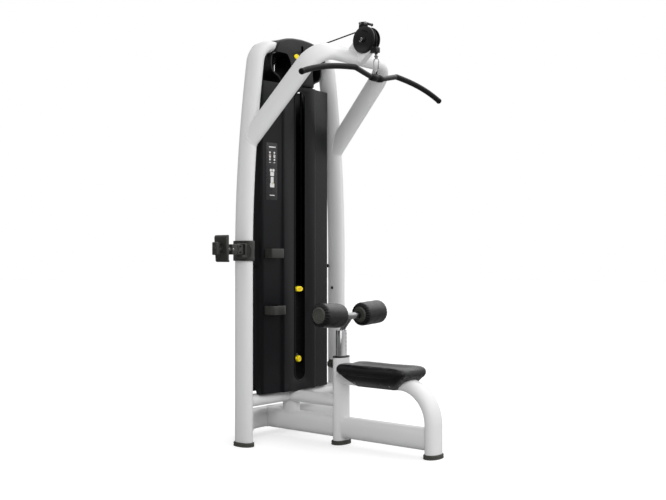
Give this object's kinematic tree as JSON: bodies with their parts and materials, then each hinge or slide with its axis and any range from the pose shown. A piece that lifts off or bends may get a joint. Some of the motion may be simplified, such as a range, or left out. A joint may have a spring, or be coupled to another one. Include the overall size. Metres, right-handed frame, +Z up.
{
  "type": "lat pulldown machine",
  "caption": "Cable lat pulldown machine: oval-tube frame with overhead arch, shrouded weight tower, wide bar on a snap hook, padded seat and adjustable thigh rollers",
  "frame": {"origin": "centre of the bottom of the seat post's foot, on the floor", "axes": "+Z up; +X along the machine's width, to the user's left when seated facing the tower; -Y away from the tower"},
  "size_m": [1.2178, 1.221, 2.233],
  "materials": {
    "frame_paint": "satin silver-white powder coat",
    "foot_rubber": "matt olive-grey rubber",
    "tower_plastic": "fine-grained charcoal moulding",
    "black_plastic": "black moulded plastic",
    "wheel_plastic": "black nylon",
    "accessory_plastic": "dark olive-grey plastic",
    "upholstery": "black stitched vinyl over foam",
    "grip_rubber": "ribbed black rubber sleeve",
    "cable_jacket": "black nylon-coated steel cable",
    "cushion_rubber": "black rubber",
    "bright_steel": "zinc-plated steel",
    "chrome": "polished chrome",
    "plate_paint": "black painted iron",
    "pin_yellow": "bright yellow plastic"
  },
  "bodies": {
    "root": {"left_upright": "frame_paint", "right_upright": "frame_paint", "rear_base_bar": "frame_paint", "tower_cross_bar": "frame_paint", "link_beam": "frame_paint", "joint_post": "frame_paint", "main_beam_rear": "frame_paint", "main_beam_front": "frame_paint", "seat_post": "frame_paint", "seat_tube": "frame_paint", "overhead_arch": "frame_paint", "pulley_bracket": "frame_paint", "foot_left": "foot_rubber", "foot_right": "foot_rubber", "foot_middle": "foot_rubber", "foot_front": "foot_rubber", "front_shroud": "tower_plastic", "rear_shroud": "tower_plastic", "head_cover": "black_plastic", "pulley_cover_left": "black_plastic", "pulley_cover_right": "black_plastic", "seat_shell": "black_plastic", "post_gasket": "black_plastic", "upper_ledge": "accessory_plastic", "lower_ledge": "accessory_plastic", "holder_collar": "accessory_plastic", "seat_pad": "upholstery", "cable_span": "cable_jacket", "stack_cushion": "cushion_rubber", "front_axle": "bright_steel", "head_axle": "bright_steel", "guide_rod_left": "chrome", "guide_rod_right": "chrome", "head_beam": "plate_paint", "weight_plate_01": "plate_paint", "weight_plate_02": "plate_paint", "weight_plate_03": "plate_paint", "weight_plate_04": "plate_paint", "weight_plate_05": "plate_paint", "weight_plate_06": "plate_paint", "weight_plate_07": "plate_paint", "weight_plate_08": "plate_paint", "weight_plate_09": "plate_paint"},
    "stack": {"top_plate": "plate_paint", "selector_stem": "bright_steel", "cable_stack": "cable_jacket"},
    "drop": {"cable_ferrule": "bright_steel", "cable_drop": "cable_jacket"},
    "hook": {"snap_hook": "bright_steel"},
    "bar": {"lat_bar": "grip_rubber"},
    "front_wheel": {"front_pulley": "wheel_plastic"},
    "head_wheel": {"head_pulley": "wheel_plastic"},
    "pin": {"selector_pin": "pin_yellow"},
    "increment": {"increment_pin": "pin_yellow"},
    "thigh": {"thigh_post": "chrome"},
    "roller_left_body": {"roller_left": "upholstery"},
    "roller_right_body": {"roller_right": "upholstery"},
    "pop": {"pop_pin": "accessory_plastic"},
    "arm": {"holder_arm": "accessory_plastic"},
    "cradle": {"holder_cradle": "accessory_plastic"}
  },
  "joints": [
    {"name": "stack_lift", "type": "slide", "parent": "root", "child": "stack", "axis": [0, 0, 1], "range_m": [0, 1.05], "deforming": ["cable_stack"]},
    {"name": "bar_pull", "type": "slide", "parent": "root", "child": "drop", "axis": [0, 0, -1], "range_m": [0, 1.05], "deforming": ["cable_drop"]},
    {"name": "hook_swivel", "type": "hinge", "parent": "drop", "child": "hook", "pos_m": [0, -0.236, 2], "axis": [0, 0, 1], "range_deg": [-20, 20]},
    {"name": "bar_tilt", "type": "hinge", "parent": "hook", "child": "bar", "pos_m": [0, -0.236, 1.9586], "axis": [0, 1, 0], "range_deg": [-15, 15]},
    {"name": "front_wheel_turn", "type": "hinge", "parent": "root", "child": "front_wheel", "pos_m": [0, -0.173, 2.134], "axis": [1, 0, 0], "continuous": true},
    {"name": "head_wheel_turn", "type": "hinge", "parent": "root", "child": "head_wheel", "pos_m": [0, 0.34, 2.075], "axis": [1, 0, 0], "continuous": true},
    {"name": "selector_pin_pull", "type": "slide", "parent": "stack", "child": "pin", "axis": [0, -1, 0], "range_m": [0, 0.05]},
    {"name": "increment_pin_pull", "type": "slide", "parent": "root", "child": "increment", "axis": [0, -1, 0], "range_m": [0, 0.035]},
    {"name": "thigh_height", "type": "slide", "parent": "root", "child": "thigh", "axis": [0, 0, 1], "range_m": [-0.1, 0.03]},
    {"name": "roller_left_turn", "type": "hinge", "parent": "thigh", "child": "roller_left_body", "pos_m": [0, -0.062, 0.684], "axis": [-0.9983, 0, 0.0576], "continuous": true},
    {"name": "roller_right_turn", "type": "hinge", "parent": "thigh", "child": "roller_right_body", "pos_m": [0, -0.062, 0.684], "axis": [0.9983, 0, 0.0576], "continuous": true},
    {"name": "pop_pin_pull", "type": "slide", "parent": "root", "child": "pop", "axis": [0, 1, 0], "range_m": [0, 0.012]},
    {"name": "holder_swing", "type": "hinge", "parent": "root", "child": "arm", "pos_m": [-0.442, 0.322, 1.03], "axis": [0, 0, 1], "range_deg": [-30, 30]},
    {"name": "cradle_tilt", "type": "hinge", "parent": "arm", "child": "cradle", "pos_m": [-0.543, 0.322, 1.038], "axis": [0, 1, 0], "range_deg": [-20, 20]}
  ],
  "couplings": [
    {"joint": "bar_pull", "follows": "stack_lift", "ratio": 1},
    {"joint": "front_wheel_turn", "follows": "stack_lift", "rad_per_m": 15.873},
    {"joint": "head_wheel_turn", "follows": "stack_lift", "rad_per_m": 20}
  ]
}
